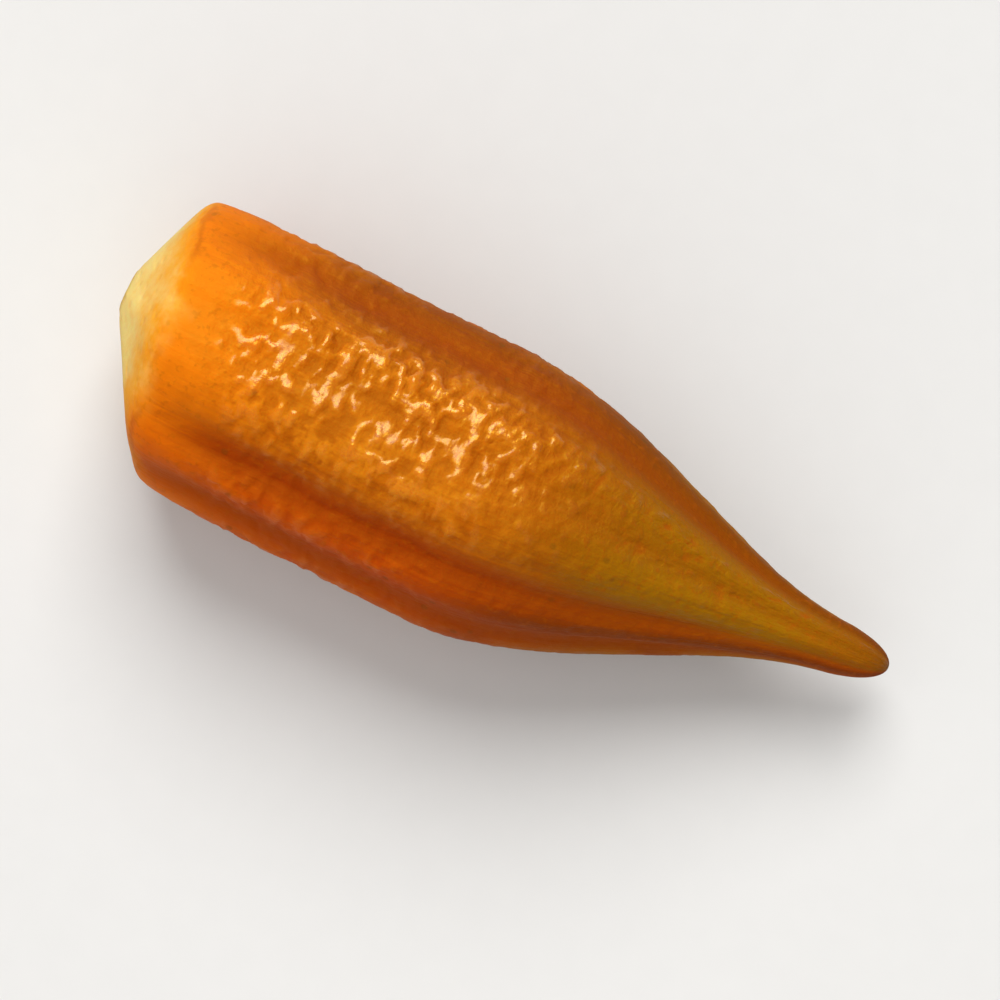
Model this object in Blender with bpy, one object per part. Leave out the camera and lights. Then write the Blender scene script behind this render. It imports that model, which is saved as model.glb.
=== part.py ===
"""A small okra pod, stewed until soft, its cap shaved to a short cone, lying on its side.

The pod is one closed body. Metres, +Z up: it lies along X on the plane Z = 0, with the
shaved cap at -X and the tip at +X. Angles round the pod run from the top (+Z) towards +Y.
Places along it are fractions of its length, from the stem cut (0) to the tip (1).
"""

import math

import bmesh
import bpy

# The pod's overall form
LENGTH = 0.0345  # stem cut to tip
GIRTH_RADIUS = 0.00572  # between the ribs, where the pod is plumpest
SHOULDER_SLIM = 0.03  # how much slimmer the pod is at the stem end, as a fraction
PLUMP_AT = 0.27  # fraction of the length where the girth is reached
TAPER_START = 0.458
TAPER_END = 0.965
BEAK_RADIUS = 0.00098  # the narrow end that the taper runs into
BLUNT_START = 0.935  # from here the beak rounds over to the tip
SAG = 0.95  # height of a cross-section against its width: soft flesh settles

# The line that the cross-sections are centred on
SPINE_Y = 0.00025
BELLY_SWAY = -0.00025  # sideways, at mid-length
TIP_SWAY = 0.0005
REST_HEIGHT = 0.00532  # above the resting plane: less than the radius, so the underside is flat
DROOP = 0.0022  # how far the tip hangs below a straight spine
DROOP_START = 0.35

# Ribs: the angle round the pod in degrees, and the height as a fraction of the radius
MAIN_RIBS = ((-10, 0.082), (65, 0.078), (140, 0.08), (216, 0.086), (281, 0.07))
SIDE_RIBS = ((27, 0.045), (102, 0.04), (178, 0.046), (248, 0.038), (311, 0.052))
MAIN_SHARPNESS = 46
SIDE_SHARPNESS = 84
TWIST = math.radians(-7)  # how far the ribs turn from stem end to tip
TAPER_GAIN = 0.6  # ribs stand out more, for their radius, along the taper
RIB_FADE = 0.93  # past this place the ribs run out into the smooth tip

# The shaved cap: knife facets that close on a small flat stem cut
STEM_CUT_RADIUS = 0.0009
CAP_OFFSET = 0.0008  # the cut stands this far towards +Y of the spine
SHOULDER_AT = 0.13  # the cap's edge lies on the skin as it is at this place
FACETS = 7
FACET_TURN = math.radians(17)  # the first facet's angle
FACET_SLOPE = 2.12  # run outwards for each unit run along the pod
FACET_SKEW = 0.38  # added to the slope towards +Y, taken off towards -Y
FACET_UNEVEN = 0.09  # how much the knife strokes differ in slope
FACET_WAVE = 2.3  # radians from one stroke to the next, in the sine that makes them differ

# How finely the surface is divided
AROUND = 64
CONE_RINGS = 7
BODY_RINGS = 42
TIP_RINGS = 6
SHARP_EDGE = math.radians(38)  # edges that turn more than this stay crisp


def smoothstep(start, end, value):
    t = min(max((value - start) / (end - start), 0.0), 1.0)
    return t * t * (3 - 2 * t)


def mean_radius(s):
    """Radius between the ribs: plump, then tapering to a narrow beak with a round end."""
    rise = max(PLUMP_AT - s, 0.0) / PLUMP_AT
    plump = GIRTH_RADIUS * (1 - SHOULDER_SLIM * rise * rise)
    radius = plump + (BEAK_RADIUS - plump) * smoothstep(TAPER_START, TAPER_END, s)
    rounding = min(max(s - BLUNT_START, 0.0) / (1 - BLUNT_START), 1.0)
    return radius * math.sqrt(1 - rounding * rounding)


def ribs(angle, s):
    """How far the ribs stand out at an angle, as a fraction of the radius."""
    height = 0.0
    for group, sharpness in ((MAIN_RIBS, MAIN_SHARPNESS), (SIDE_RIBS, SIDE_SHARPNESS)):
        for degrees, rise in group:
            apart = angle - math.radians(degrees) - TWIST * (s - 0.5)
            height += rise * ((1 + math.cos(apart)) / 2) ** sharpness
    gain = 1 + TAPER_GAIN * smoothstep(TAPER_START, RIB_FADE, s)
    return height * gain * (1 - smoothstep(RIB_FADE, 1.0, s))


def skin_radius(angle, s):
    return mean_radius(s) * (1 + ribs(angle, s))


def spine(s):
    """Centre of the cross-section at a place along the pod, as (y, z)."""
    y = SPINE_Y + BELLY_SWAY * math.sin(math.pi * s) + TIP_SWAY * s**3
    hang = max(s - DROOP_START, 0.0) / (1 - DROOP_START)
    return y, REST_HEIGHT - DROOP * hang * hang


def skin_point(angle, s):
    y, z = spine(s)
    radius = skin_radius(angle, s)
    return (
        LENGTH * (s - 0.5),
        y + radius * math.sin(angle),
        z + SAG * radius * math.cos(angle),
    )


def facets():
    """The angle that each knife facet faces, and its slope."""
    for number in range(FACETS):
        facing = FACET_TURN + 2 * math.pi * number / FACETS
        slope = FACET_SLOPE + FACET_SKEW * math.sin(facing)
        yield facing, slope * (1 + FACET_UNEVEN * math.sin(FACET_WAVE * number))


def cut_point(angle):
    """Rim of the flat stem cut, a small polygon."""
    y, z = spine(0)
    radius = STEM_CUT_RADIUS / max(math.cos(angle - facing) for facing, _ in facets())
    return (
        -LENGTH / 2,
        y + CAP_OFFSET + radius * math.sin(angle),
        z + SAG * radius * math.cos(angle),
    )


def shoulder(angle):
    """Place along the pod where the last facet at an angle runs out through the skin."""
    reach = skin_radius(angle, SHOULDER_AT) - CAP_OFFSET * math.sin(angle)
    return max(
        (reach * math.cos(angle - facing) - STEM_CUT_RADIUS) / (slope * LENGTH)
        for facing, slope in facets()
    )


def rings():
    """Rings of points from the stem cut to the last ring before the tip."""
    angles = [2 * math.pi * i / AROUND for i in range(AROUND)]
    for j in range(CONE_RINGS):
        part = j / CONE_RINGS
        yield [
            tuple(a + (b - a) * part for a, b in zip(cut_point(w), skin_point(w, shoulder(w))))
            for w in angles
        ]
    for j in range(BODY_RINGS):
        part = j / BODY_RINGS
        yield [skin_point(w, shoulder(w) + (BLUNT_START - shoulder(w)) * part) for w in angles]
    for j in range(TIP_RINGS):
        turn = math.pi / 2 * j / TIP_RINGS
        place = BLUNT_START + (1 - BLUNT_START) * math.sin(turn)
        yield [skin_point(w, place) for w in angles]


def pod_mesh():
    """The closed surface, with what would sink below the resting plane pressed flat."""
    bm = bmesh.new()
    levels = [
        [bm.verts.new((x, y, max(z, 0.0))) for x, y, z in ring]
        for ring in rings()
    ]
    tip = bm.verts.new(skin_point(0, 1))
    for near, far in zip(levels, levels[1:]):
        for i in range(AROUND):
            nxt = (i + 1) % AROUND
            bm.faces.new((near[i], near[nxt], far[nxt], far[i]))
    for i in range(AROUND):
        bm.faces.new((levels[-1][i], levels[-1][(i + 1) % AROUND], tip))
    bm.faces.new(levels[0])
    bmesh.ops.recalc_face_normals(bm, faces=bm.faces)
    mesh = bpy.data.meshes.new("okra_pod")
    bm.to_mesh(mesh)
    bm.free()
    mesh.shade_smooth()
    mesh.set_sharp_from_angle(angle=SHARP_EDGE)
    return mesh


def skin_material():
    """Wet, golden, stewed skin."""
    material = bpy.data.materials.new("okra_skin")
    material.use_nodes = True
    shader = material.node_tree.nodes["Principled BSDF"]
    shader.inputs["Base Color"].default_value = (0.58, 0.19, 0.012, 1)
    shader.inputs["Roughness"].default_value = 0.3
    shader.inputs["Metallic"].default_value = 0.0
    return material


def main():
    for thing in list(bpy.data.objects):
        bpy.data.objects.remove(thing, do_unlink=True)
    pod = bpy.data.objects.new("okra_pod", pod_mesh())
    pod.data.materials.append(skin_material())
    bpy.context.scene.collection.objects.link(pod)


main()
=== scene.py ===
"""A small okra pod, stewed soft and shaved to a cone at its cap, on a plain pale floor.

The pod is one skin, grown by Geometry Nodes from a rule: ribs round a plump body that
tapers to a narrow beak, and knife facets that close on a small flat stem cut. Metres, +Z up:
the pod lies along X on the plane Z = 0, with its cap at -X. Angles round the pod run from
the top (+Z) towards +Y. Places along it are fractions of its length, from the stem cut to
the tip. Patterns that follow the skin read "place", a point in millimetres on a plain
cylinder that the pod's skin is unrolled onto, so they run together towards the tip.
"""

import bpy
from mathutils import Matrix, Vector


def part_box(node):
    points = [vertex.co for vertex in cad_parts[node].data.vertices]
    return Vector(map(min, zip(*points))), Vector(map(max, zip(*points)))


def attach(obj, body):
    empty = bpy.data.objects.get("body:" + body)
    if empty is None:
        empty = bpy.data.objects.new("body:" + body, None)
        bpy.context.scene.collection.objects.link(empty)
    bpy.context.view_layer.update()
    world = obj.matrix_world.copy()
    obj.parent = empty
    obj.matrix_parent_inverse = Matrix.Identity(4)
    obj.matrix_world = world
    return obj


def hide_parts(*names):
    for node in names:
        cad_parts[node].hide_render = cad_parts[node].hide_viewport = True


bl_info = {
    "name": "Stewed Okra Pod",
    "version": (1, 0, 0),
    "blender": (4, 5, 0),
    "location": "3D Viewport > Sidebar > Okra",
    "description": "Grows a small cooked okra pod and sets it on a plain studio floor",
    "category": "Add Mesh",
}

import math
from types import SimpleNamespace

import bpy
from bpy.props import FloatProperty, FloatVectorProperty, IntProperty, PointerProperty
from mathutils import Matrix, Vector

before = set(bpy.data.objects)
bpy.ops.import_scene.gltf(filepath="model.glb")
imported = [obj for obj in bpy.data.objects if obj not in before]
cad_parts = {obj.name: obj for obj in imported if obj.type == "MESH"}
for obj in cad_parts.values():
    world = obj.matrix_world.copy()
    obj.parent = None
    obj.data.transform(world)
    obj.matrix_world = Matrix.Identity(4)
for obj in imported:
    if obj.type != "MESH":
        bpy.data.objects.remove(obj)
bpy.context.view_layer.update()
POD_LOW, POD_HIGH = (Vector(corner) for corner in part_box("okra_pod"))

MM = 0.001

# The pod's overall form, which its plain solid has too
MEAN_GIRTH = 0.9527  # the width between the ribs, as a fraction of the overall width
SHOULDER_SLIM = 0.03  # how much slimmer the pod is at the stem end, as a fraction
PLUMP_AT = 0.27  # fraction of the length where the girth is reached
TAPER_START = 0.458
TAPER_END = 0.965
BLUNT_START = 0.935  # from here the beak rounds over to the tip
SAG = 0.95  # height of a cross-section against its width: soft flesh settles
SPINE_SHIFT = 0.25 * MM  # from the middle of the solid's width, towards +Y
BELLY_SWAY = -0.25 * MM
TIP_SWAY = 0.5 * MM
REST_HEIGHT = 5.32 * MM  # of the spine, less than the radius: the underside is pressed flat
DROOP_START = 0.35

# Ribs: the angle round the pod in degrees, and the height as a fraction of the radius
MAIN_RIBS = ((-10, 0.082), (65, 0.078), (140, 0.08), (216, 0.086), (281, 0.07))
SIDE_RIBS = ((27, 0.045), (102, 0.04), (178, 0.046), (248, 0.038), (311, 0.052))
MAIN_SHARPNESS = 46
SIDE_SHARPNESS = 84
TAPER_GAIN = 0.6  # ribs stand out more, for their radius, along the taper
RIB_FADE = 0.93  # past this place the ribs run out into the smooth tip
WANDER = 0.1  # ribs and folds wander from straight lines within this angle, in radians

# Folds in the grooves: the angle in degrees, the depth in millimetres, where they start and
# end, and how much of the stew has soaked in beside them
FOLDS = (
    (-36, 0.17, 0.2, 0.72, 1.0),
    (52, 0.13, 0.16, 0.8, 0.6),
    (9, 0.05, 0.3, 0.86, 0.1),
    (84, 0.18, 0.14, 0.74, 0.35),
    (122, 0.24, 0.2, 0.8, 0.5),
    (160, 0.22, 0.15, 0.66, 0.5),
    (198, 0.22, 0.2, 0.72, 0.5),
    (232, 0.26, 0.14, 0.75, 0.6),
    (264, 0.22, 0.2, 0.8, 0.5),
    (296, 0.2, 0.16, 0.72, 0.7),
)
# Ribs whose skin has puckered: the angle in degrees, and how much
PUCKERED = (
    (27, 1.0), (11, 0.8), (-10, 0.45), (65, 0.35), (102, 0.3), (140, 0.4), (178, 0.7),
    (216, 0.4), (248, 0.7), (281, 0.15), (311, 0.35),
)
PUCKER_SHARPNESS = 60
FOLD_SHARPNESS = 240
FOLD_RUN = 0.12  # over this part of the length a fold deepens or runs out
SOAK_SHARPNESS = 200
TAUT_CREST = 0.05  # rib height, for its radius, at which the furrows are faintest

# The shaved cap
SHOULDER_AT = 0.13  # the cap's edge lies on the skin as it is at this place
FACETS = 7
FACET_TURN = math.radians(17)  # the first facet's angle
FACET_SLOPE = 2.12  # run outwards for each unit run along the pod
FACET_SKEW = 0.38  # added to the slope towards +Y, taken off towards -Y
FACET_UNEVEN = 0.09  # how much the knife strokes differ in slope
FACET_WAVE = 2.3  # radians from one stroke to the next, in the sine that makes them differ
FACET_BLEND = 0.006  # how softly one facet runs into the next, in fractions of the length
FACET_SLANT = 5.6  # about the length of a facet, in millimetres

CUT_PATTERN = 0.16  # the stem cut's radius in patterns, as a fraction of the pod's

# Cooking has softened the edges
EDGE_ROUNDS = 60  # how many times a point at an edge is averaged with its neighbours
REST_EDGE = 0.12 * MM  # how softly the underside turns up from its flat patch

# Rows of faces along the pod, zone by zone from the middle of the stem cut
CUT_ROWS = 10
CONE_ROWS = 46
BODY_ROWS = 246
TIP_ROWS = 24
FACES_AROUND = 288
SAME_POINT = 0.001 * MM  # points nearer than this are one

# The finish of the skin and the flesh
FULL_CREST = 0.08  # rib height, for its radius, at which a crest has its full colour
FULL_FOLD = 0.2  # depth at which a fold has its full colour, in millimetres
GLOW_WEIGHT = 0.3  # how much of the light is scattered in the flesh
GLOW_REACH = (1.0, 0.34, 0.06)  # how far red, green and blue go in it, against each other
GLOW_DEPTH = 1.1 * MM
DRY_ROUGHNESS = 0.7
WET_ROUGHNESS = 0.2
GOLD_REFLECTION = (1.0, 0.78, 0.05, 1.0)
JUICE_COAT = 0.55

# The light
SKY_COLOUR = (1.0, 0.99, 0.97, 1.0)
CEILING_SPREAD = math.radians(110)  # how wide the broad light overhead looks from the pod
FLOOR_BOUNCE = 0.5  # of the floor's own brightness


class Value:
    """A number that varies over the surface. It takes part in sums as a number does."""

    def __init__(self, socket):
        self.socket = socket

    def __add__(self, other):
        return maths("ADD", self, other)

    def __radd__(self, other):
        return maths("ADD", other, self)

    def __sub__(self, other):
        return maths("SUBTRACT", self, other)

    def __rsub__(self, other):
        return maths("SUBTRACT", other, self)

    def __mul__(self, other):
        return maths("MULTIPLY", self, other)

    def __rmul__(self, other):
        return maths("MULTIPLY", other, self)

    def __truediv__(self, other):
        return maths("DIVIDE", self, other)

    def __pow__(self, other):
        return maths("POWER", self, other)


def feed(socket, term):
    """Links a value to a socket, or sets a plain number or colour on it."""
    if isinstance(term, Value):
        socket.id_data.links.new(term.socket, socket)
    else:
        socket.default_value = term


def maths(operation, *terms):
    """Joins numbers and values with one Math node."""
    tree = next(term.socket.id_data for term in terms if isinstance(term, Value))
    node = tree.nodes.new("ShaderNodeMath")
    node.operation = operation
    for socket, term in zip(node.inputs, terms):
        feed(socket, term)
    return Value(node.outputs[0])


def cosine(value):
    return maths("COSINE", value)


def sine(value):
    return maths("SINE", value)


def square_root(value):
    return maths("SQRT", value)


def absolute(value):
    return maths("ABSOLUTE", value)


def larger(a, b):
    return maths("MAXIMUM", a, b)


def smaller(a, b):
    return maths("MINIMUM", a, b)


def clamp(value):
    return larger(smaller(value, 1.0), 0.0)


def mix(a, b, part):
    return a + (b - a) * part


def smoothstep(start, end, value):
    """Rises smoothly from 0 to 1 between two ends, or falls where start is the higher end."""
    node = value.socket.id_data.nodes.new("ShaderNodeMapRange")
    node.interpolation_type = "SMOOTHSTEP"
    feed(node.inputs["Value"], value)
    low, high = (start, end) if start < end else (end, start)
    node.inputs["From Min"].default_value = low
    node.inputs["From Max"].default_value = high
    result = Value(node.outputs["Result"])
    return result if start < end else 1 - result


def vector(x, y, z):
    tree = next(term.socket.id_data for term in (x, y, z) if isinstance(term, Value))
    node = tree.nodes.new("ShaderNodeCombineXYZ")
    for socket, term in zip(node.inputs, (x, y, z)):
        feed(socket, term)
    return Value(node.outputs[0])


def parts_of(place):
    """The x, y and z of a vector."""
    node = place.socket.id_data.nodes.new("ShaderNodeSeparateXYZ")
    feed(node.inputs[0], place)
    return [Value(socket) for socket in node.outputs]


def noise(place, lengthwise, crosswise, detail=1.0, distortion=0.0, shift=0.0):
    """Smooth noise from 0 to 1, whose lumps have these lengths in millimetres."""
    x, y, z = parts_of(place)
    node = place.socket.id_data.nodes.new("ShaderNodeTexNoise")
    feed(
        node.inputs["Vector"],
        vector(x / lengthwise + shift, y / crosswise - shift, z / crosswise + shift),
    )
    node.inputs["Scale"].default_value = 1.0
    node.inputs["Detail"].default_value = detail
    node.inputs["Distortion"].default_value = distortion
    return Value(node.outputs[0])


def cells(place, size, shift=0.0):
    """Distance from the middle of the nearest cell, in cells of this size in millimetres."""
    x, y, z = parts_of(place)
    node = place.socket.id_data.nodes.new("ShaderNodeTexVoronoi")
    node.feature = "SMOOTH_F1"
    feed(node.inputs["Vector"], vector(x / size + shift, y / size, z / size))
    node.inputs["Scale"].default_value = 1.0
    node.inputs["Smoothness"].default_value = 0.6
    return Value(node.outputs["Distance"])


# The rule of the pod's form


def mean_radius(pod, s):
    """Radius between the ribs: plump, then tapering to a narrow beak with a round end."""
    rise = larger(PLUMP_AT - s, 0.0) / PLUMP_AT
    plump = pod.radius * (1 - SHOULDER_SLIM * rise * rise)
    radius = mix(plump, pod.beak, smoothstep(TAPER_START, TAPER_END, s))
    rounding = clamp((s - BLUNT_START) / (1 - BLUNT_START))
    return radius * square_root(larger(1 - rounding * rounding, 0.0))


def rib(pod, angle, s, degrees, sharpness):
    """One rib or fold: 1 along its crest, falling to 0 on both sides."""
    apart = angle - math.radians(degrees) - pod.twist * (s - 0.5)
    return ((1 + cosine(apart)) / 2) ** sharpness


def ribs(pod, angle, s):
    """How far the ribs stand out at an angle, as a fraction of the radius."""
    height = 0.0
    for group, sharpness in ((MAIN_RIBS, MAIN_SHARPNESS), (SIDE_RIBS, SIDE_SHARPNESS)):
        for degrees, rise in group:
            height = height + rise * rib(pod, angle, s, degrees, sharpness)
    gain = 1 + TAPER_GAIN * smoothstep(TAPER_START, RIB_FADE, s)
    return height * gain * smoothstep(1.0, RIB_FADE, s)


def folds(pod, angle, s):
    """Depth of the folds in the grooves, in millimetres."""
    depth = 0.0
    for degrees, deepest, start, end, _ in FOLDS:
        run = smoothstep(start - FOLD_RUN, start, s) * smoothstep(end + FOLD_RUN, end, s)
        depth = depth + deepest * run * rib(pod, angle, s, degrees, FOLD_SHARPNESS)
    return depth


def soaked(pod, angle, s):
    """How much of the stew has soaked in beside the folds, up to 1."""
    amount = 0.0
    for degrees, _, start, end, most in FOLDS:
        run = smoothstep(start - FOLD_RUN, start, s) * smoothstep(end + FOLD_RUN, end, s)
        amount = larger(most * run * rib(pod, angle, s, degrees, SOAK_SHARPNESS), amount)
    return amount


def puckered(pod, angle, s):
    """How much the skin has puckered: up to 1 along the most puckered ribs."""
    amount = 0.0
    for degrees, most in PUCKERED:
        amount = larger(most * rib(pod, angle, s, degrees, PUCKER_SHARPNESS), amount)
    return amount


def skin_radius(pod, angle, s):
    return mean_radius(pod, s) * (1 + pod.rib_height * ribs(pod, angle, s))


def spine(pod, s):
    """Centre of the cross-section at a place along the pod, as (y, z)."""
    y = pod.middle + BELLY_SWAY * sine(math.pi * s) + TIP_SWAY * s * s * s
    hang = larger(s - DROOP_START, 0.0) / (1 - DROOP_START)
    return y, REST_HEIGHT - pod.droop * hang * hang


def skin_point(pod, angle, s):
    y, z = spine(pod, s)
    radius = skin_radius(pod, angle, s)
    return (
        pod.start + pod.length * s,
        y + radius * sine(angle),
        z + SAG * radius * cosine(angle),
    )


def facets():
    """The angle that each knife facet faces, and its slope."""
    for number in range(FACETS):
        facing = FACET_TURN + 2 * math.pi * number / FACETS
        slope = FACET_SLOPE + FACET_SKEW * math.sin(facing)
        yield facing, slope * (1 + FACET_UNEVEN * math.sin(FACET_WAVE * number))


def cut_point(pod, angle, part):
    """A point on the flat stem cut: at part 0 its middle, at part 1 its rim."""
    y, z = spine(pod, 0.0 * angle)
    nearest = 0.0
    for facing, _ in facets():
        nearest = larger(cosine(angle - facing), nearest)
    radius = part * pod.stem_cut / nearest
    return (
        pod.start + 0.0 * angle,
        y + pod.cap_offset + radius * sine(angle),
        z + SAG * radius * cosine(angle),
    )


def shoulder(pod, angle):
    """Place along the pod where the last facet at an angle runs out through the skin."""
    reach = skin_radius(pod, angle, SHOULDER_AT + 0.0 * angle) - pod.cap_offset * sine(angle)
    furthest = 0.0
    for facing, slope in facets():
        run = (reach * cosine(angle - facing) - pod.stem_cut) / (slope * pod.length)
        furthest = maths("SMOOTH_MAX", run, furthest, FACET_BLEND)
    return furthest


# Names of the tree's inputs, and the settings that they take
POD_INPUTS = (
    ("Start", "start"),
    ("Middle", "middle"),
    ("Length", "length"),
    ("Radius", "radius"),
    ("Beak Radius", "beak"),
    ("Stem Cut Radius", "stem_cut"),
    ("Cap Offset", "cap_offset"),
    ("Droop", "droop"),
    ("Twist", "twist"),
    ("Rib Height", "rib_height"),
    ("Wrinkle Depth", "wrinkles"),
    ("Lump Depth", "lumps"),
)


class Grower:
    """Builds the Geometry Nodes tree, passing the mesh from node to node."""

    def __init__(self, name):
        self.tree = bpy.data.node_groups.new(name, "GeometryNodeTree")
        self.tree.is_modifier = True
        for label, _ in POD_INPUTS:
            self.tree.interface.new_socket(label, in_out="INPUT", socket_type="NodeSocketFloat")
        around = self.tree.interface.new_socket(
            "Faces Around", in_out="INPUT", socket_type="NodeSocketInt"
        )
        around.default_value = FACES_AROUND
        self.tree.interface.new_socket(
            "Material", in_out="INPUT", socket_type="NodeSocketMaterial"
        )
        self.tree.interface.new_socket(
            "Mesh", in_out="OUTPUT", socket_type="NodeSocketGeometry"
        )
        self.inputs = self.node("NodeGroupInput").outputs
        self.mesh = None

    def node(self, kind, **settings):
        node = self.tree.nodes.new(kind)
        for name, setting in settings.items():
            setattr(node, name, setting)
        return node

    def field(self, kind):
        return Value(self.node(kind).outputs[0])

    def step(self, kind, terms=None, **settings):
        """Passes the mesh through one node, with these terms on its other sockets."""
        node = self.node(kind, **settings)
        if self.mesh is not None:
            self.tree.links.new(self.mesh, node.inputs[0])
        for name, term in (terms or {}).items():
            feed(node.inputs[name], term)
        self.mesh = node.outputs[0]
        return node

    def store(self, name, value, data_type="FLOAT", domain="POINT"):
        """Stores a value as an attribute of the mesh."""
        self.step(
            "GeometryNodeStoreNamedAttribute",
            {"Name": name, "Value": value},
            data_type=data_type,
            domain=domain,
        )

    def stored(self, name, data_type="FLOAT"):
        """An attribute that was stored on the mesh before."""
        node = self.node("GeometryNodeInputNamedAttribute", data_type=data_type)
        node.inputs["Name"].default_value = name
        return Value(node.outputs["Attribute"])


def lay_grid(grower):
    """A flat grid, one row of faces for each step along the pod. Returns its two directions."""
    rows = CUT_ROWS + CONE_ROWS + BODY_ROWS + TIP_ROWS
    around = Value(grower.inputs["Faces Around"]) + 1
    grid = grower.step(
        "GeometryNodeMeshGrid",
        {"Size X": float(rows), "Size Y": 1.0, "Vertices X": rows + 1, "Vertices Y": around},
    )
    grower.store("UVMap", Value(grid.outputs["UV Map"]), "FLOAT2", "CORNER")
    x, y, _ = parts_of(grower.field("GeometryNodeInputPosition"))
    return x + rows / 2, (y + 0.5) * (2 * math.pi)


def wrap_skin(grower, pod):
    """Wraps the grid round the pod and stores what the finish needs to know of each point."""
    row, angle = lay_grid(grower)
    cut_part = clamp(row / CUT_ROWS)
    cone_part = clamp((row - CUT_ROWS) / CONE_ROWS)
    body_part = clamp((row - CUT_ROWS - CONE_ROWS) / BODY_ROWS)
    tip_part = clamp((row - CUT_ROWS - CONE_ROWS - BODY_ROWS) / TIP_ROWS)
    edge = shoulder(pod, angle)
    s = mix(edge, BLUNT_START, body_part) + (1 - BLUNT_START) * sine(math.pi / 2 * tip_part)
    # On the cap the pattern's radius runs in to the middle, so that it isn't drawn together
    pattern_radius = pod.radius / MM * mix(CUT_PATTERN * cut_part, 1.0, cone_part)
    place = vector(
        pod.length / MM * s * cone_part,
        pattern_radius * sine(angle),
        pattern_radius * cosine(angle),
    )
    wander = WANDER * (noise(place, 11.0, 7.0) - 0.5)
    cut = cut_point(pod, angle, cut_part)
    # Behind the cap's edge the wandering begins within the first eighth of the skin
    skin = skin_point(pod, angle + wander * smoothstep(0.0, 1.0, body_part * 8), s)
    position = vector(*(mix(a, b, cone_part) for a, b in zip(cut, skin)))
    from_edge = (s - edge) * pod.length / MM - (1 - cone_part) * FACET_SLANT
    grower.store("place", place, "FLOAT_VECTOR")
    grower.store("along", s)
    grower.store("from_edge", from_edge)
    grower.store("from_cut", cone_part * FACET_SLANT + cut_part - 1)
    grower.store("crest", ribs(pod, angle + wander, s))
    grower.store("fold", folds(pod, angle + wander, s))
    grower.store("soaked", soaked(pod, angle + wander, s))
    grower.store("puckered", puckered(pod, angle + wander, s))
    grower.store("size", mean_radius(pod, s) / pod.radius)
    grower.step("GeometryNodeSetPosition", {"Position": position})
    grower.step("GeometryNodeMergeByDistance", {"Distance": SAME_POINT})


def soften_edges(grower):
    """Rounds the cap's edge and the stem cut's rim, and the edges between facets a little."""
    from_edge = grower.stored("from_edge")
    from_cut = grower.stored("from_cut")
    near = larger(
        smoothstep(1.7, 0.4, absolute(from_edge)), smoothstep(0.5, 0.05, absolute(from_cut))
    )
    near = larger(near, 0.12 * smoothstep(0.0, -0.5, from_edge))
    node = grower.node("GeometryNodeBlurAttribute", data_type="FLOAT_VECTOR")
    position_in = next(s for s in node.inputs if s.name == "Value" and s.enabled)
    feed(position_in, grower.field("GeometryNodeInputPosition"))
    node.inputs["Iterations"].default_value = EDGE_ROUNDS
    feed(node.inputs["Weight"], near)
    softened = Value(next(s for s in node.outputs if s.enabled))
    grower.step("GeometryNodeSetPosition", {"Position": softened})


def pucker_relief(grower):
    """Height of the puckers in millimetres: flat-topped bumps, crumples and creases."""
    place = grower.stored("place", "FLOAT_VECTOR")
    along = grower.stored("along")
    from_edge = grower.stored("from_edge")
    patches = smoothstep(0.3, 0.54, noise(place, 4.0, 2.8, shift=7.0))
    # The shoulder and the taper are smoother
    past_shoulder = smoothstep(1.4, 4.2, from_edge)
    on_taper = smoothstep(0.38, 0.6, along)
    rough = mix(0.15, 1.0, past_shoulder) * mix(1.0, 0.4, on_taper)
    worked = rough * (0.2 + 0.8 * grower.stored("puckered")) * (0.2 + 0.8 * patches)
    bumps = noise(place, 0.48, 0.66, detail=1.0, distortion=0.6, shift=11.0)
    puckers = smoothstep(0.36, 0.62, bumps) - 0.4
    crumples = noise(place, 0.5, 1.2, detail=1.0, distortion=0.8, shift=19.0) - 0.5
    crease_line = noise(place, 1.1, 1.7, detail=1.0, distortion=0.9, shift=17.0)
    creases = smoothstep(0.09, 0.0, absolute(crease_line - 0.5))
    return (0.16 * puckers + 0.4 * crumples - 0.05 * creases) * worked


def skin_relief(grower, pod):
    """Height of the cooked skin's wrinkles, folds and lumps, in millimetres."""
    place = grower.stored("place", "FLOAT_VECTOR")
    crest = clamp(grower.stored("crest") / TAUT_CREST)
    from_edge = grower.stored("from_edge")
    on_skin = smoothstep(0.0, 0.5, from_edge)
    lumps = noise(place, 6.5, 3.2, detail=1.5) - 0.5
    # Long furrows lie where the noise crosses its middle value
    furrow_line = noise(place, 8.0, 1.3, detail=1.0, distortion=0.3, shift=3.0)
    furrows = smoothstep(0.07, 0.0, absolute(furrow_line - 0.5))
    wrinkles = grower.stored("pucker") - 0.05 * furrows * (1 - 0.6 * crest)
    height = pod.wrinkles * wrinkles + pod.lumps * lumps - grower.stored("fold")
    # The relief shrinks with the pod towards the tip
    size = smoothstep(0.0, 0.55, grower.stored("size"))
    return height * size * on_skin


def cap_relief(grower):
    """Height of the cap's hollows and pores, and the stem cut's ring and pith, in millimetres."""
    place = grower.stored("place", "FLOAT_VECTOR")
    from_edge = grower.stored("from_edge")
    from_cut = grower.stored("from_cut")
    on_cap = smoothstep(0.6, -0.6, from_edge)
    hollows = noise(place, 2.6, 2.6, detail=1.0, shift=5.0) - 0.5
    pores = smoothstep(0.35, 0.1, cells(place, 0.7, shift=23.0))
    pith = smoothstep(-0.35, -0.75, from_cut)
    rim = smoothstep(-0.55, -0.25, from_cut) * smoothstep(0.1, -0.15, from_cut)
    return on_cap * (0.12 * hollows - 0.035 * pores) + 0.04 * rim - 0.14 * pith


def rest_flat(grower):
    """Presses what would sink below the resting plane flat, with a soft edge."""
    x, y, z = parts_of(grower.field("GeometryNodeInputPosition"))
    pressed = maths("SMOOTH_MAX", z, 0.0, REST_EDGE)
    grower.step("GeometryNodeSetPosition", {"Position": vector(x, y, pressed)})


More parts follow.
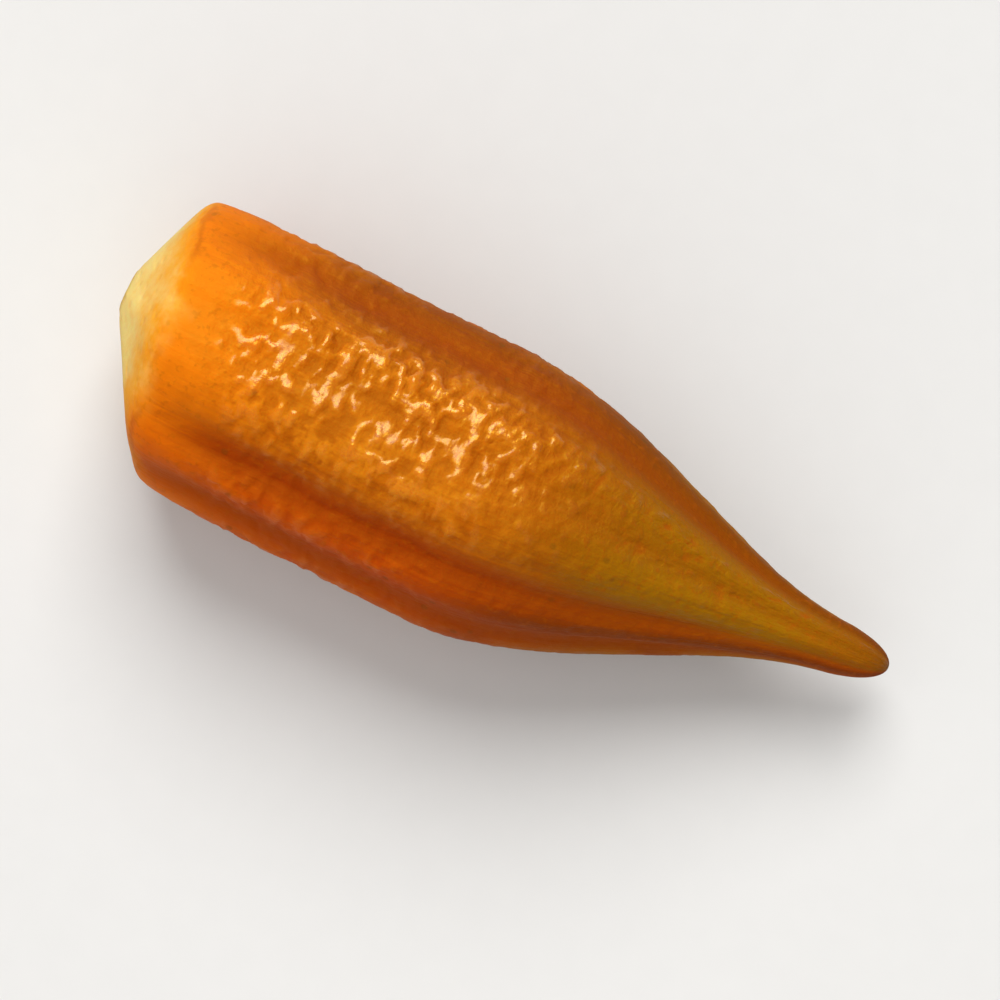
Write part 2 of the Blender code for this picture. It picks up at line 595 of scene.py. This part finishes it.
def pod_tree():
    """The tree that grows the whole pod as one closed skin."""
    grower = Grower("Grow Okra Pod")
    pod = SimpleNamespace(
        **{setting: Value(grower.inputs[label]) for label, setting in POD_INPUTS}
    )
    wrap_skin(grower, pod)
    soften_edges(grower)
    grower.store("pucker", pucker_relief(grower))
    relief = skin_relief(grower, pod) + cap_relief(grower)
    grower.store("relief", relief)
    normal = parts_of(grower.field("GeometryNodeInputNormal"))
    lift = grower.stored("relief") * MM
    grower.step("GeometryNodeSetPosition", {"Offset": vector(*(n * lift for n in normal))})
    rest_flat(grower)
    grower.step("GeometryNodeSetShadeSmooth")
    grower.step("GeometryNodeRealizeInstances")
    grower.step("GeometryNodeSetMaterial", {"Material": Value(grower.inputs["Material"])})
    out = grower.node("NodeGroupOutput")
    grower.tree.links.new(grower.mesh, out.inputs["Mesh"])
    return grower.tree


# Finishes


class Painter:
    """Builds a material's nodes."""

    def __init__(self, name):
        self.material = bpy.data.materials.new(name)
        self.material.use_nodes = True
        self.tree = self.material.node_tree
        self.shader = self.tree.nodes["Principled BSDF"]

    def node(self, kind, **settings):
        node = self.tree.nodes.new(kind)
        for name, setting in settings.items():
            setattr(node, name, setting)
        return node

    def stored(self, name, output="Fac"):
        """An attribute of the mesh."""
        return Value(self.node("ShaderNodeAttribute", attribute_name=name).outputs[output])

    def object_place(self):
        """The point on the object, in millimetres."""
        coordinates = self.node("ShaderNodeTexCoord").outputs["Object"]
        scale = self.node("ShaderNodeVectorMath", operation="SCALE")
        self.tree.links.new(coordinates, scale.inputs[0])
        scale.inputs["Scale"].default_value = 1 / MM
        return Value(scale.outputs[0])

    def colour(self, first, second, part):
        """Goes from the first colour to the second as part goes from 0 to 1."""
        node = self.node("ShaderNodeMix", data_type="RGBA")
        feed(node.inputs["Factor"], part)
        for socket, term in zip(node.inputs[6:8], (first, second)):
            feed(socket, term if isinstance(term, Value) else (*term, 1.0))
        return Value(node.outputs[2])

    def bump(self, height, distance, strength):
        """Fine relief, in which a height of 1 stands for this distance."""
        node = self.node("ShaderNodeBump")
        node.inputs["Strength"].default_value = strength
        node.inputs["Distance"].default_value = distance
        feed(node.inputs["Height"], height)
        return Value(node.outputs[0])

    def set(self, **terms):
        """Sets the shader's sockets: their names with underscores for spaces."""
        for name, term in terms.items():
            feed(self.shader.inputs[name.replace("_", " ")], term)


def read_pod(paint, sizes):
    """What is known of each point of the pod, and the patterns that its finishes share."""
    pod = SimpleNamespace(
        place=paint.stored("place", "Vector"),
        spot=paint.object_place(),
        along=paint.stored("along"),
        from_edge=paint.stored("from_edge"),
        from_cut=paint.stored("from_cut"),
        crest=clamp(paint.stored("crest") / FULL_CREST),
        pucker=paint.stored("pucker"),
        fold=clamp(paint.stored("fold") / FULL_FOLD),
    )
    pod.clouds = noise(pod.spot, 5.0, 4.0, detail=3.0)
    pod.fibres = noise(pod.place, 4.0, 0.2, detail=2.0, distortion=0.3, shift=6.0)
    pod.mottle = noise(pod.spot, 0.9, 0.9, detail=3.0, shift=9.0)
    pod.speckle = noise(pod.spot, 0.3, 0.3, detail=2.0, shift=13.0)
    pod.blush = noise(pod.spot, 2.4, 2.4, detail=2.0, shift=31.0)
    # Green is left towards the tip. The shoulder, thin over the flesh, is a brighter orange
    pod.green = smoothstep(0.42, 0.7, pod.along + 0.16 * (pod.clouds - 0.5))
    pod.flush = smoothstep(7.5, 0.5, pod.from_edge + 1.6 * (pod.clouds - 0.5))
    # The flanks are stained, one deeper than the other, and both carry painted shadow along the
    # pod. The underside is so only in patches
    radius = sizes.girth / MM * MEAN_GIRTH / 2
    _, sideways, rise = parts_of(pod.place)
    low = smoothstep(0.93, 0.62, rise / radius)
    above = smoothstep(0.0, 0.5, rise / radius)
    pod.flank = low * mix(0.8 * smoothstep(0.42, 0.62, pod.clouds), 1.0, above)
    pod.deeper = smoothstep(0.3, -0.4, sideways / radius)
    return pod


def unstained_colour(paint, colours, pod):
    """Cooked skin: gold on what stands out, partly its own colour and partly painted highlight,
    olive at the tip, orange at the shoulder, and painted shade in the pucker hollows.
    """
    streaks = noise(pod.place, 12.0, 0.55, detail=3.0, shift=2.0)
    skin = paint.colour(colours.skin, colours.shade, smoothstep(0.4, 0.75, streaks))
    skin = paint.colour(skin, colours.shade, 0.5 * smoothstep(0.5, 0.66, pod.fibres))
    # The rib crests turn gold in patches: partly their own colour, partly painted highlight
    crest_gold_and_highlight = pod.crest * smoothstep(0.3, 0.7, pod.mottle)
    skin = paint.colour(skin, colours.crest, 0.6 * crest_gold_and_highlight)
    # Painted highlight: the raised pucker tops are lightened towards the crest gold
    skin = paint.colour(skin, colours.crest, 0.65 * smoothstep(0.0, 0.06, pod.pucker))
    skin = paint.colour(skin, colours.olive, 0.9 * pod.green)
    # Yellow-green along the rib crests near the tip: partly the tip's own green, partly painted
    # highlight
    green_and_lit_ridge = pod.crest * smoothstep(0.56, 0.7, pod.along) * smoothstep(0.95, 0.85, pod.along)
    skin = paint.colour(skin, colours.lime, 0.75 * green_and_lit_ridge)
    # Painted shade: the hollows between the puckers are darkened towards the shade colour
    skin = paint.colour(skin, colours.shade, 0.8 * smoothstep(0.0, -0.06, pod.pucker))
    uneven = 0.8 + 0.4 * (pod.fibres - 0.5) + 0.6 * (pod.mottle - 0.5)
    return paint.colour(skin, colours.flush, pod.flush * uneven)


def stained_colour(paint, colours, pod, skin):
    """Skin with the stew soaked into its grooves, and into one flank more than the other, with
    painted shadow on the flanks and painted shade in the folds.
    """
    stained = pod.flank * pod.deeper * (1 - 0.3 * pod.crest) * (1 - 0.3 * pod.flush)
    skin = paint.colour(skin, colours.stain, 0.8 * stained)
    # Partly stew, partly painted shadow: the far flank past the shoulder and the deeper flank along
    # the taper are darkened
    far_flank = (1 - pod.deeper) * smoothstep(2.5, 8.0, pod.from_edge)
    far = far_flank + pod.deeper * smoothstep(0.38, 0.62, pod.along)
    skin = paint.colour(skin, colours.stain_and_shadow, 0.8 * far * pod.flank * pod.flank)
    in_groove = 0.95 * paint.stored("soaked") * (1 - 0.5 * pod.green)
    skin = paint.colour(skin, colours.groove, in_groove)
    # Painted shade: the folds are darkened with their depth
    skin = paint.colour(skin, colours.shade, 0.4 * pod.fold)
    flecks = smoothstep(0.2, 0.08, cells(pod.place, 1.0, shift=4.0))
    skin = paint.colour(skin, colours.fleck, 0.4 * flecks * smoothstep(0.48, 0.6, pod.clouds))
    return paint.colour(skin, colours.shade, 0.35 * smoothstep(0.55, 0.7, pod.speckle))


def flesh_colour(paint, colours, pod):
    """Shaved flesh: pale at the cut, warmer towards the skin, with cloudy patches and pores."""
    patchy = 1.3 * (pod.blush - 0.5) + 0.8 * (pod.mottle - 0.5) + 0.5 * (pod.speckle - 0.5)
    warmth = clamp(smoothstep(-4.4, -0.4, pod.from_edge) + patchy)
    flesh = paint.colour(colours.flesh, colours.warm_flesh, warmth)
    pores = smoothstep(0.3, 0.12, cells(pod.place, 0.7, shift=23.0))
    flesh = paint.colour(flesh, colours.skin, 0.12 * pores)
    ring = smoothstep(-0.7, -0.4, pod.from_cut) * smoothstep(0.15, -0.15, pod.from_cut)
    flesh = paint.colour(flesh, colours.olive, 0.4 * ring)
    return paint.colour(flesh, colours.shade, 0.6 * smoothstep(-0.45, -0.8, pod.from_cut))


def pod_material(sizes, colours):
    """Wet stewed skin, golden brown to olive, with a pale shaved cap."""
    paint = Painter("okra_skin")
    pod = read_pod(paint, sizes)
    skin = stained_colour(paint, colours, pod, unstained_colour(paint, colours, pod))
    flesh = flesh_colour(paint, colours, pod)
    ragged = pod.from_edge + 0.9 * (pod.mottle - 0.5) + 2.0 * (pod.blush - 0.5)
    on_skin = smoothstep(-1.3, 0.9, ragged)
    colour = paint.colour(flesh, skin, on_skin)
    cut_edge = smoothstep(0.35, 0.0, absolute(pod.from_edge + 1.4 * (pod.mottle - 0.5)))
    colour = paint.colour(colour, colours.groove, 0.3 * cut_edge * smoothstep(0.4, 0.6, pod.blush))

    # Juice shines on what stands out
    raised = smoothstep(-0.01, 0.05, pod.pucker)
    shine = (0.1 + 0.9 * raised) * (1 - 0.5 * pod.flank) * (1 - pod.fold)
    wet = clamp(mix(0.2, shine, smoothstep(1.0, 4.0, pod.from_edge)))
    roughness = mix(DRY_ROUGHNESS, WET_ROUGHNESS, wet) + 0.16 * (pod.mottle - 0.5)
    # Finer relief than the mesh holds, in millimetres
    crinkles = noise(pod.place, 0.22, 0.34, detail=2.0, distortion=0.8, shift=41.0)
    crinkled = mix(0.3, 1.0, paint.stored("puckered")) * smoothstep(0.5, 3.0, pod.from_edge)
    grain = 0.05 * crinkles * crinkled + 0.03 * pod.fibres * on_skin + 0.03 * pod.speckle
    paint.set(
        Base_Color=colour,
        Roughness=clamp(roughness),
        Subsurface_Weight=GLOW_WEIGHT,
        Subsurface_Radius=GLOW_REACH,
        Subsurface_Scale=GLOW_DEPTH,
        IOR=1.5,
        Specular_IOR_Level=0.8,
        Specular_Tint=GOLD_REFLECTION,
        Coat_Weight=JUICE_COAT * smoothstep(0.3, 0.85, wet),
        Coat_Roughness=0.2,
        Coat_IOR=1.5,
        Normal=paint.bump(grain, MM, 1.0),
    )
    return paint.material


def floor_material(colour):
    """Matt pale board with a faint grain. It throws little of its light back onto the pod."""
    paint = Painter("studio_floor")
    spot = paint.object_place()
    grain = noise(spot, 1.5, 1.5, detail=4.0)
    shade = tuple(0.97 * channel for channel in colour)
    dim = tuple(FLOOR_BOUNCE * channel for channel in colour)
    seen = Value(paint.node("ShaderNodeLightPath").outputs["Is Camera Ray"])
    paint.set(
        Base_Color=paint.colour(dim, paint.colour(colour, shade, grain), seen),
        Roughness=0.8,
        Normal=paint.bump(grain, 0.02 * MM, 0.3),
    )
    return paint.material


# Settings


def length_setting(name, description, default):
    return FloatProperty(
        name=name,
        description=description,
        default=default,
        min=0.0,
        subtype="DISTANCE",
        unit="LENGTH",
    )


def colour_setting(name, description, default):
    return FloatVectorProperty(
        name=name,
        description=description,
        default=default,
        size=3,
        min=0.0,
        max=1.0,
        subtype="COLOR",
    )


class OkraPodSettings(bpy.types.PropertyGroup):
    """Sizes of the pod."""

    length: length_setting("Length", "From the stem cut to the tip", POD_HIGH.x - POD_LOW.x)
    girth: length_setting("Girth", "Width over the ribs", POD_HIGH.y - POD_LOW.y)
    beak: length_setting("Beak Radius", "Radius of the narrow end", 0.98 * MM)
    stem_cut: length_setting("Stem Cut Radius", "Radius of the flat cut on the cap", 0.9 * MM)
    cap_offset: length_setting("Cap Offset", "How far the stem cut stands off the middle", 0.8 * MM)
    droop: length_setting("Droop", "How far the tip hangs below a straight pod", 2.2 * MM)
    twist: FloatProperty(
        name="Twist",
        description="How far the ribs turn from the stem end to the tip",
        default=math.radians(-7),
        subtype="ANGLE",
        unit="ROTATION",
    )
    rib_height: FloatProperty(
        name="Rib Height", description="Height of the ribs, 1 as grown", default=1.0, min=0.0
    )
    wrinkles: FloatProperty(
        name="Wrinkle Depth",
        description="Depth of the wrinkles, 1 as stewed",
        default=1.0,
        min=0.0,
    )
    lumps: FloatProperty(
        name="Lump Depth",
        description="Height of the broad lumps, in millimetres",
        default=0.3,
        min=0.0,
    )
    around: IntProperty(
        name="Faces Around",
        description="Faces in each ring round the pod",
        default=FACES_AROUND,
        min=32,
    )


class OkraColourSettings(bpy.types.PropertyGroup):
    """Colours of the pod."""

    skin: colour_setting("Skin", "Stewed skin", (0.53, 0.108, 0.001))
    # Shade: darker streaks and speckles in the skin, and also the colour of the painted shade in
    # the pucker hollows and the folds
    shade: colour_setting("Shade", "Darker streaks in the skin", (0.42, 0.075, 0.001))
    # Crest: the ribs' own gold, also used as painted highlight on the crests and the pucker tops
    crest: colour_setting("Crest", "Along the ribs", (0.75, 0.225, 0.006))
    olive: colour_setting("Olive", "Green left towards the tip", (0.3, 0.084, 0.0005))
    # Lime: partly the tip's green, partly painted highlight on the rib crests
    lime: colour_setting("Lime", "Along the ribs near the tip", (0.38, 0.15, 0.0008))
    flush: colour_setting("Flush", "Shoulder beside the shaved cap", (0.84, 0.18, 0.0015))
    stain: colour_setting("Stain", "Flank that the stew has soaked into", (0.58, 0.034, 0.0004))
    # Partly stew, partly painted shadow on the flanks
    stain_and_shadow: colour_setting("Dusk", "Flanks of the taper, darkest with stew", (0.19, 0.021, 0.0003))
    groove: colour_setting("Groove", "Grooves that the stew has soaked into", (0.31, 0.005, 0.0001))
    fleck: colour_setting("Fleck", "Small dark spots", (0.14, 0.04, 0.003))
    flesh: colour_setting("Flesh", "Shaved flesh at the stem cut", (0.98, 0.7, 0.22))
    warm_flesh: colour_setting("Warm Flesh", "Shaved flesh beside the skin", (0.96, 0.37, 0.01))


class StageSettings(bpy.types.PropertyGroup):
    """The floor, the light and the camera."""

    floor: colour_setting("Floor", "Plain pale floor", (0.76, 0.75, 0.73))
    backdrop: colour_setting("Backdrop", "What is seen past the floor's edge", (0.64, 0.63, 0.61))
    floor_size: length_setting("Floor Size", "Side of the square floor", 6.0)
    key_strength: FloatProperty(
        name="Key Strength", description="Strength of the soft window light", default=2.85, min=0.0
    )
    key_spread: FloatProperty(
        name="Key Spread",
        description="How wide the window looks from the pod",
        default=math.radians(42),
        subtype="ANGLE",
        unit="ROTATION",
    )
    fill_strength: FloatProperty(
        name="Fill Strength",
        description="Strength of the broad light overhead",
        default=1.6,
        min=0.0,
    )
    sky: FloatProperty(
        name="Sky", description="Strength of the even light all round", default=0.12, min=0.0
    )
    distance: length_setting("Camera Distance", "Height of the camera over the pod", 0.23)
    lens: FloatProperty(
        name="Lens", description="Focal length in millimetres", default=205.0, min=1.0
    )
    heading: FloatProperty(
        name="Heading",
        description="How far the pod is turned down to the right in the picture",
        default=math.radians(25.9),
        subtype="ANGLE",
        unit="ROTATION",
    )


# Operators


class OKRA_OT_pod(bpy.types.Operator):
    """Grows the pod in the place of its plain solid"""

    bl_idname = "okra.pod"
    bl_label = "Okra Pod"

    def execute(self, context):
        sizes = context.scene.okra_pod
        tree = pod_tree()
        values = {
            "start": POD_LOW.x,
            "middle": (POD_LOW.y + POD_HIGH.y) / 2 + SPINE_SHIFT,
            "radius": sizes.girth * MEAN_GIRTH / 2,
        }
        carrier = bpy.data.objects.new("pod_carrier", bpy.data.meshes.new("pod_carrier"))
        context.scene.collection.objects.link(carrier)
        modifier = carrier.modifiers.new("Grow", "NODES")
        modifier.node_group = tree
        sockets = {s.name: s.identifier for s in tree.interface.items_tree if s.in_out == "INPUT"}
        for label, setting in POD_INPUTS:
            given = values[setting] if setting in values else getattr(sizes, setting)
            modifier[sockets[label]] = given
        modifier[sockets["Faces Around"]] = sizes.around
        modifier[sockets["Material"]] = pod_material(sizes, context.scene.okra_colours)
        graph = context.evaluated_depsgraph_get()
        mesh = bpy.data.meshes.new_from_object(carrier.evaluated_get(graph))
        bpy.data.objects.remove(carrier)
        mesh.name = "stewed_okra_pod"
        pod = bpy.data.objects.new("stewed_okra_pod", mesh)
        context.scene.collection.objects.link(pod)
        if not mesh.polygons:
            raise RuntimeError("the pod's tree made no faces")
        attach(pod, "root")
        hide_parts("okra_pod")
        return {"FINISHED"}


def add_light(name, strength, spread, towards, glossy=True):
    """A far soft light that shines from this direction, with or without a reflection."""
    light = bpy.data.lights.new(name, "SUN")
    light.energy = strength
    light.angle = spread
    lamp = bpy.data.objects.new(name, light)
    lamp.location = 0.5 * towards
    lamp.rotation_euler = towards.to_track_quat("Z", "Y").to_euler()
    lamp.visible_glossy = glossy
    bpy.context.scene.collection.objects.link(lamp)


def even_world(stage):
    """A world that lights evenly, and is seen as a plain pale backdrop."""
    world = bpy.data.worlds.new("even_light")
    world.use_nodes = True
    nodes, links = world.node_tree.nodes, world.node_tree.links
    light = nodes["Background"]
    light.inputs["Color"].default_value = SKY_COLOUR
    light.inputs["Strength"].default_value = stage.sky
    seen = nodes.new("ShaderNodeBackground")
    seen.inputs["Color"].default_value = (*stage.backdrop, 1.0)
    choice = nodes.new("ShaderNodeMixShader")
    links.new(nodes.new("ShaderNodeLightPath").outputs["Is Camera Ray"], choice.inputs["Fac"])
    links.new(light.outputs[0], choice.inputs[1])
    links.new(seen.outputs[0], choice.inputs[2])
    links.new(choice.outputs[0], nodes["World Output"].inputs["Surface"])
    return world


class OKRA_OT_stage(bpy.types.Operator):
    """Makes the floor, the light and the camera"""

    bl_idname = "okra.stage"
    bl_label = "Stage"

    def execute(self, context):
        stage = context.scene.okra_stage
        half = stage.floor_size / 2
        corners = [(-half, -half, 0), (half, -half, 0), (half, half, 0), (-half, half, 0)]
        mesh = bpy.data.meshes.new("floor")
        mesh.from_pydata(corners, [], [(0, 1, 2, 3)])
        mesh.materials.append(floor_material(stage.floor))
        floor = bpy.data.objects.new("floor", mesh)
        context.scene.collection.objects.link(floor)

        context.scene.world = even_world(stage)

        middle = (POD_LOW + POD_HIGH) / 2
        right = Matrix.Rotation(stage.heading, 3, "Z") @ Vector((1, 0, 0))
        up = Vector((-right.y, right.x, 0))
        overhead = Vector((0, 0, 1))
        window_from = up + 0.05 * right + 1.1 * overhead
        add_light("window", stage.key_strength, stage.key_spread, window_from)
        ceiling_from = overhead - 0.6 * up - 0.6 * right
        add_light("ceiling", stage.fill_strength, CEILING_SPREAD, ceiling_from, glossy=False)

        camera = bpy.data.cameras.new("camera")
        camera.lens = stage.lens
        camera.clip_start = 10 * MM
        eye = bpy.data.objects.new("camera", camera)
        turn = Matrix((right, up, (0, 0, 1))).transposed().to_4x4()
        centre = Vector((middle.x, middle.y, POD_HIGH.z / 2))
        eye.matrix_world = Matrix.Translation(centre + Vector((0, 0, stage.distance))) @ turn
        context.scene.collection.objects.link(eye)
        context.scene.camera = eye
        context.scene.view_settings.view_transform = "Standard"
        return {"FINISHED"}


class OKRA_PT_panel(bpy.types.Panel):
    """Lists the steps and their settings"""

    bl_idname = "OKRA_PT_panel"
    bl_label = "Stewed Okra Pod"
    bl_space_type = "VIEW_3D"
    bl_region_type = "UI"
    bl_category = "Okra"

    def draw(self, context):
        scene = context.scene
        for settings, operator in (
            (scene.okra_pod, OKRA_OT_pod),
            (scene.okra_colours, None),
            (scene.okra_stage, OKRA_OT_stage),
        ):
            box = self.layout.box()
            for name in settings.__annotations__:
                box.prop(settings, name)
            if operator:
                box.operator(operator.bl_idname)


CLASSES = (
    OkraPodSettings,
    OkraColourSettings,
    StageSettings,
    OKRA_OT_pod,
    OKRA_OT_stage,
    OKRA_PT_panel,
)


def register():
    for kind in CLASSES:
        bpy.utils.register_class(kind)
    bpy.types.Scene.okra_pod = PointerProperty(type=OkraPodSettings)
    bpy.types.Scene.okra_colours = PointerProperty(type=OkraColourSettings)
    bpy.types.Scene.okra_stage = PointerProperty(type=StageSettings)


def unregister():
    del bpy.types.Scene.okra_stage
    del bpy.types.Scene.okra_colours
    del bpy.types.Scene.okra_pod
    for kind in reversed(CLASSES):
        bpy.utils.unregister_class(kind)


def main():
    register()
    bpy.ops.okra.stage()
    bpy.ops.okra.pod()


if __name__ == "__main__":
    main()
